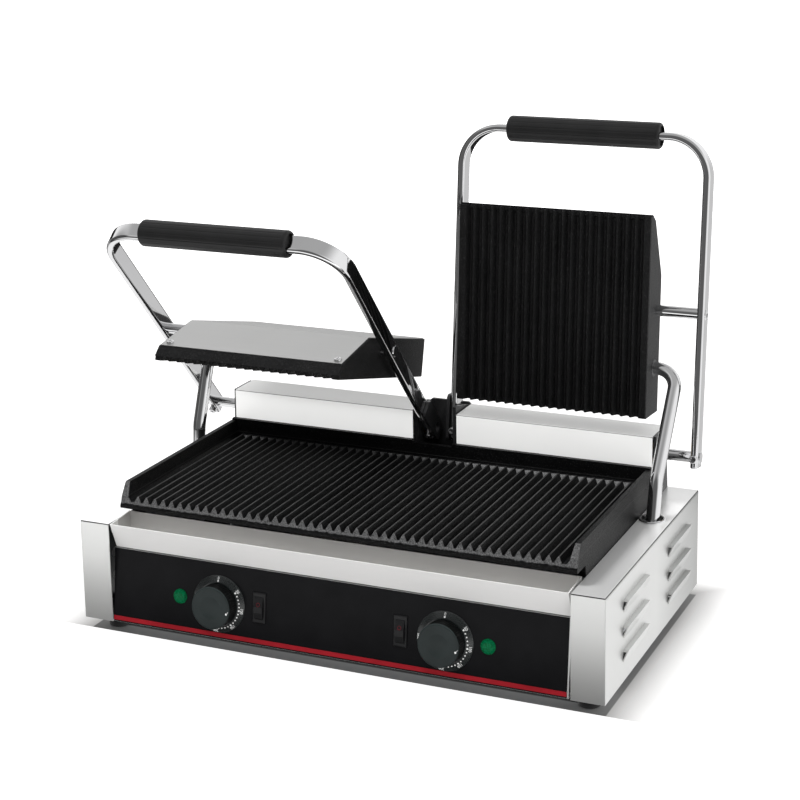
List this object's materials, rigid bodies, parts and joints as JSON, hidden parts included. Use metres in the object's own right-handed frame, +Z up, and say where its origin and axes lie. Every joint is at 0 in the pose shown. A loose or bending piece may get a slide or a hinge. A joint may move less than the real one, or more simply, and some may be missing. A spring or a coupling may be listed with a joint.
{
  "type": "panini press",
  "caption": "Double contact grill: wide ribbed lower plate, upper plates hung in hinged chrome handle frames, control panel with dials, switches and lamps, drip tray.",
  "frame": {"origin": "on the table under the middle of the whole box", "axes": "+X to the right along the front, +Y to the rear, +Z up"},
  "size_m": [0.5868, 0.3586, 0.5134],
  "materials": {
    "stainless": "fine brushed",
    "chrome": "bright plated",
    "cast_iron": "matt black enamel, sand-cast texture",
    "black_metal": "satin black paint",
    "panel_film": "smooth gloss",
    "red_stripe": "printed film",
    "dial": "satin dark grey",
    "knob": "satin dark grey",
    "lamp_green": "moulded lens",
    "black_plastic": "satin moulded",
    "grip": "satin, finely ribbed",
    "rubber": "matt",
    "zinc_steel": "zinc plated sheet",
    "heater": "oxidised sheath",
    "brass": "turned",
    "ceramic": "moulded",
    "spring_steel": "oiled"
  },
  "bodies": {
    "base": {"cable_gland": "black_plastic", "centre_bracket": "black_metal", "chassis": "zinc_steel", "conduit_rings": "chrome", "control_panel": "stainless", "counterbalance_springs": "spring_steel", "dial_rings": "dial", "foot_screws": "zinc_steel", "front_bulkhead": "zinc_steel", "gland_locknut": "black_plastic", "hinge_bushes": "brass", "indicator_lamps": "lamp_green", "left_cheek": "stainless", "left_hinge_cover": "stainless", "lower_grill_plate": "cast_iron", "lower_heating_elements": "heater", "lower_reflector": "zinc_steel", "outer_hinge_brackets": "black_metal", "panel_overlay": "panel_film", "panel_trim_strip": "red_stripe", "rear_panel": "stainless", "rear_screws": "zinc_steel", "right_cheek": "stainless", "right_hinge_cover": "stainless", "rubber_feet": "rubber", "switch_bodies": "black_plastic", "terminal_block": "ceramic", "thermostats": "zinc_steel"},
    "left_frame": {"left_handle_frame": "chrome", "left_grip": "grip", "left_clamp_bolts": "chrome", "left_hinge_channel": "black_metal", "left_hinge_shaft": "chrome", "left_cross_shaft": "chrome"},
    "left_plate": {"left_upper_plate": "cast_iron", "left_plate_cover": "stainless", "left_cover_screws": "chrome", "left_upper_heater": "heater", "left_conduit_bush": "black_metal"},
    "left_tube": {"left_conduit": "chrome"},
    "right_frame": {"right_handle_frame": "chrome", "right_grip": "grip", "right_clamp_bolts": "chrome", "right_hinge_channel": "black_metal", "right_hinge_shaft": "chrome", "right_cross_shaft": "chrome"},
    "right_plate": {"right_upper_plate": "cast_iron", "right_plate_cover": "stainless", "right_cover_screws": "chrome", "right_upper_heater": "heater", "right_conduit_bush": "black_metal"},
    "right_tube": {"right_conduit": "chrome"},
    "left_control": {"left_knob": "knob", "left_knob_shaft": "zinc_steel"},
    "right_control": {"right_knob": "knob", "right_knob_shaft": "zinc_steel"},
    "left_switch": {"left_rocker": "black_plastic"},
    "right_switch": {"right_rocker": "black_plastic"},
    "tray": {"drip_tray": "stainless"}
  },
  "joints": [
    {"name": "left_lid", "type": "hinge", "parent": "base", "child": "left_frame", "pos_m": [-0.1515, 0.13028, 0.1658], "axis": [-1, 0, 0], "range_deg": [-42.99, 0]},
    {"name": "left_plate_level", "type": "hinge", "parent": "left_frame", "child": "left_plate", "pos_m": [-0.1515, 0.02843, 0.27891], "axis": [-1, 0, 0], "range_deg": [-0.5, 29.2]},
    {"name": "left_conduit_swing", "type": "hinge", "parent": "left_plate", "child": "left_tube", "pos_m": [-0.239, 0.08631, 0.25899], "axis": [-1, 0, 0], "range_deg": [-19, 0.5]},
    {"name": "right_lid", "type": "hinge", "parent": "base", "child": "right_frame", "pos_m": [0.1515, 0.13028, 0.1658], "axis": [-1, 0, 0], "range_deg": [-90.99, 0]},
    {"name": "right_plate_level", "type": "hinge", "parent": "right_frame", "child": "right_plate", "pos_m": [0.1515, 0.14618, 0.31717], "axis": [-1, 0, 0], "range_deg": [-3.6, 0.5]},
    {"name": "right_conduit_swing", "type": "hinge", "parent": "right_plate", "child": "right_tube", "pos_m": [0.239, 0.13684, 0.25668], "axis": [-1, 0, 0], "range_deg": [-0.5, 44]},
    {"name": "left_knob_turn", "type": "hinge", "parent": "base", "child": "left_control", "pos_m": [-0.1266, -0.1685, 0.05251], "axis": [0, 0.9934, -0.1146], "range_deg": [-100, 172]},
    {"name": "left_switch_rock", "type": "hinge", "parent": "base", "child": "left_switch", "pos_m": [-0.0799, -0.15823, 0.05424], "axis": [1, 0, 0], "range_deg": [0, 10]},
    {"name": "right_knob_turn", "type": "hinge", "parent": "base", "child": "right_control", "pos_m": [0.1218, -0.1685, 0.05251], "axis": [0, 0.9934, -0.1146], "range_deg": [-100, 172]},
    {"name": "right_switch_rock", "type": "hinge", "parent": "base", "child": "right_switch", "pos_m": [0.0751, -0.15823, 0.05424], "axis": [1, 0, 0], "range_deg": [0, 10]},
    {"name": "tray_slide", "type": "slide", "parent": "base", "child": "tray", "axis": [0, -1, 0], "range_m": [0, 0.06]}
  ],
  "couplings": [
    {"joint": "left_plate_level", "follows": "left_lid", "ratio": -0.6673},
    {"joint": "left_conduit_swing", "follows": "left_lid", "ratio": 0.4303},
    {"joint": "right_plate_level", "follows": "right_lid", "ratio": 0.0342},
    {"joint": "right_conduit_swing", "follows": "right_lid", "ratio": -0.4782}
  ]
}
